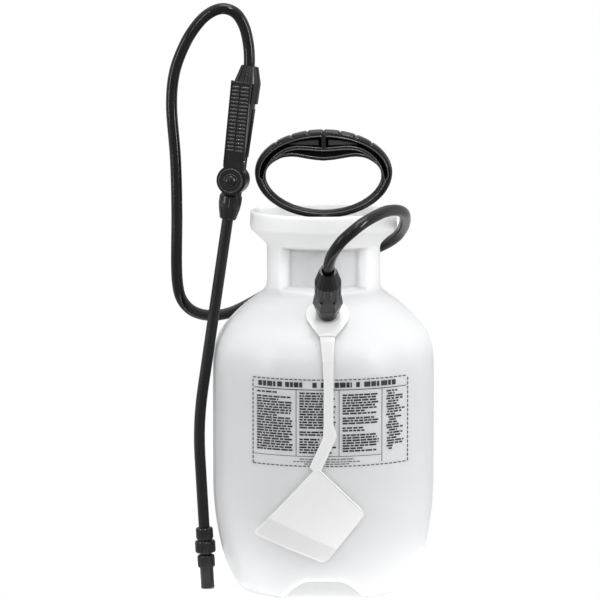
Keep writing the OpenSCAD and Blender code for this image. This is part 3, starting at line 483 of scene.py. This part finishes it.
# ribs in the lighter rib material: painted highlight
for side, x0, x1, mat in (("l", -6.9, -0.75, M_RIB_PAINTED_HIGHLIGHT), ("r", 0.25, 7.2, M_RIB_PAINTED_HIGHLIGHT)):
    v, f = [], []
    for i in range(-1, 17):
        z = 27.4 + i * 3.07; yc = -14.95 - (z - 16) * 0.1035; z += 0.8; xs = [x0, x0 + 0.35, x0 + 0.9, x1 - 0.9, x1 - 0.35, x1]; sc_ = [0.5, 0.85, 1, 1, 0.85, 0.5]; s0 = len(v); q = 20
        for x, k in zip(xs, sc_):
            for j in range(q):
                a = 2 * math.pi * j / q; v.append(tuple(GRIP @ Vector((x, yc + 1.0 * k * math.cos(a), z + 1.12 * k * math.sin(a)))))
        for a in range(5):
            for j in range(q): f.append([s0 + a * q + j, s0 + a * q + (j + 1) % q, s0 + (a + 1) * q + (j + 1) % q, s0 + (a + 1) * q + j])
        f.append([s0 + j for j in range(q - 1, -1, -1)]); f.append([s0 + 5 * q + j for j in range(q)])
    own(make("lever_ribs_" + side, v, f), mat, "lever", "black")
DISC = T(-74.3, -20, 342) @ Ry(LEAN) @ Rz(-9)
# beads round the lever disc in the lighter lip material: painted highlight
for nm, rr, tr in (("outer", 9.5, 0.42), ("inner", 5.2, 0.3)):
    v, f = [], []
    for i in range(64):
        a = 2 * math.pi * i / 64
        for j in range(10):
            b = 2 * math.pi * j / 10; r = rr + tr * math.cos(b)
            v.append(tuple(DISC @ Vector((r * math.cos(a), (-15.1 if nm == "outer" else -14.65) + tr * 0.6 * math.sin(b), r * math.sin(a)))))
    for i in range(64):
        for j in range(10): f.append([i * 10 + j, ((i + 1) % 64) * 10 + j, ((i + 1) % 64) * 10 + (j + 1) % 10, i * 10 + (j + 1) % 10])
    own(make("lever_disc_bead_" + nm, v, f), M_LIP_PAINTED_HIGHLIGHT, "lever", "black")
def on_r(x, z, r): return Vector((x, -math.sqrt(r * r - x * x), z))
lip = tube("tag_lip", [on_r(-3.6 + 34.6 * k / 24, 111.6 - 33.8 * k / 24, 94.35) for k in range(25)], 0.55, 10)
own(lip, M_CARD, "tank", "card")
# a thin flat strip over the tag's lower left in the darker tag colour: painted shade of the crease
v, f = [], []; R7 = 8
for k in range(25):
    t = k / 24
    for r in (94.2, 94.46):
        for j in range(R7):
            u = j / (R7 - 1)
            v.append(tuple(on_r((-55.2 + 56.4 * t) * (1 - u) + (-45.0 + 55.2 * t) * u, (57.4 - 20.4 * t) * (1 - u) + (70.8 - 24.0 * t) * u, r)))
for k in range(24):
    a, b = 2 * R7 * k, 2 * R7 * (k + 1)
    for j in range(R7 - 1):
        f.append([a + R7 + j, b + R7 + j, b + R7 + j + 1, a + R7 + j + 1]); f.append([a + j, a + j + 1, b + j + 1, b + j])
    f.append([a, b, b + R7, a + R7]); f.append([a + R7 - 1, a + 2 * R7 - 1, b + 2 * R7 - 1, b + R7 - 1])
for j in range(R7 - 1):
    f.append([j, R7 + j, R7 + j + 1, j + 1]); e = 2 * R7 * 24; f.append([e + j, e + j + 1, e + R7 + j + 1, e + R7 + j])
own(make("tag_fold_painted_shade", v, f, smooth=False), M_TAG_FOLD_PAINTED_SHADE, "tank", "card")

# ---------------------------------------------------------------- floor and light
fl = make("floor", [(165 * math.cos(math.pi * k / 32), 165 * math.sin(math.pi * k / 32), -0.3) for k in range(64)], [list(range(64))])
paint(fl, M_FLOOR)
sc = bpy.context.scene
sc.view_settings.view_transform = "Standard"
w = bpy.data.worlds.new("World"); sc.world = w; w.use_nodes = True
nt = w.node_tree; bg = nt.nodes["Background"]
bg.inputs["Color"].default_value = (1, 1, 1, 1)
tcw = nt.nodes.new("ShaderNodeTexCoord"); sx = nt.nodes.new("ShaderNodeSeparateXYZ"); nt.links.new(tcw.outputs["Generated"], sx.inputs[0])
def rng(sock, a, b, lo, hi):
    n_ = nt.nodes.new("ShaderNodeMapRange"); n_.interpolation_type = "SMOOTHSTEP"
    for k_, v_ in (("From Min", a), ("From Max", b), ("To Min", lo), ("To Max", hi)): n_.inputs[k_].default_value = v_
    nt.links.new(sock, n_.inputs["Value"]); return n_.outputs[0]
def add(a_, b_):
    n_ = nt.nodes.new("ShaderNodeMath"); n_.operation = "ADD"; nt.links.new(a_, n_.inputs[0]); nt.links.new(b_, n_.inputs[1]); return n_.outputs[0]
lvl = add(add(rng(sx.outputs["X"], 0.5, 0.95, 0.17, 0.62), rng(sx.outputs["X"], -0.5, -0.97, 0.17, 0.46)), rng(sx.outputs["Z"], 0.35, 0.9, 0.16, 1.05))
nt.links.new(lvl, bg.inputs["Strength"])
cam_bg = nt.nodes.new("ShaderNodeBackground"); cam_bg.inputs["Color"].default_value = (1, 1, 1, 1); cam_bg.inputs["Strength"].default_value = 1.0
lp = nt.nodes.new("ShaderNodeLightPath"); mx = nt.nodes.new("ShaderNodeMixShader")
nt.links.new(lp.outputs["Is Camera Ray"], mx.inputs[0]); nt.links.new(bg.outputs[0], mx.inputs[1]); nt.links.new(cam_bg.outputs[0], mx.inputs[2])
nt.links.new(mx.outputs[0], nt.nodes["World Output"].inputs["Surface"])
def area(name, loc, target, size, power, sy=None):
    l = bpy.data.lights.new(name, "AREA"); l.energy = power; l.size = size
    if sy: l.shape = "RECTANGLE"; l.size_y = sy
    o = bpy.data.objects.new(name, l); bpy.context.collection.objects.link(o)
    o.location = loc; o.rotation_euler = (Vector(target) - Vector(loc)).to_track_quat("-Z", "Y").to_euler()
area("key", (1.9, -1.2, 0.9), (0, 0, 0.25), 0.32, 22, 1.3)
area("fill", (-1.9, -1.0, 0.7), (0, 0, 0.25), 0.25, 11.5, 1.2)
area("top", (0.1, -0.3, 1.9), (0, 0, 0.2), 0.8, 10)
area("spark_top", (0.5, -2.0, 2.1), (0, 0, 0.3), 0.12, 11, 0.5)
area("spark_left", (-1.0, -2.4, 1.3), (0, 0, 0.3), 0.09, 7, 0.8)
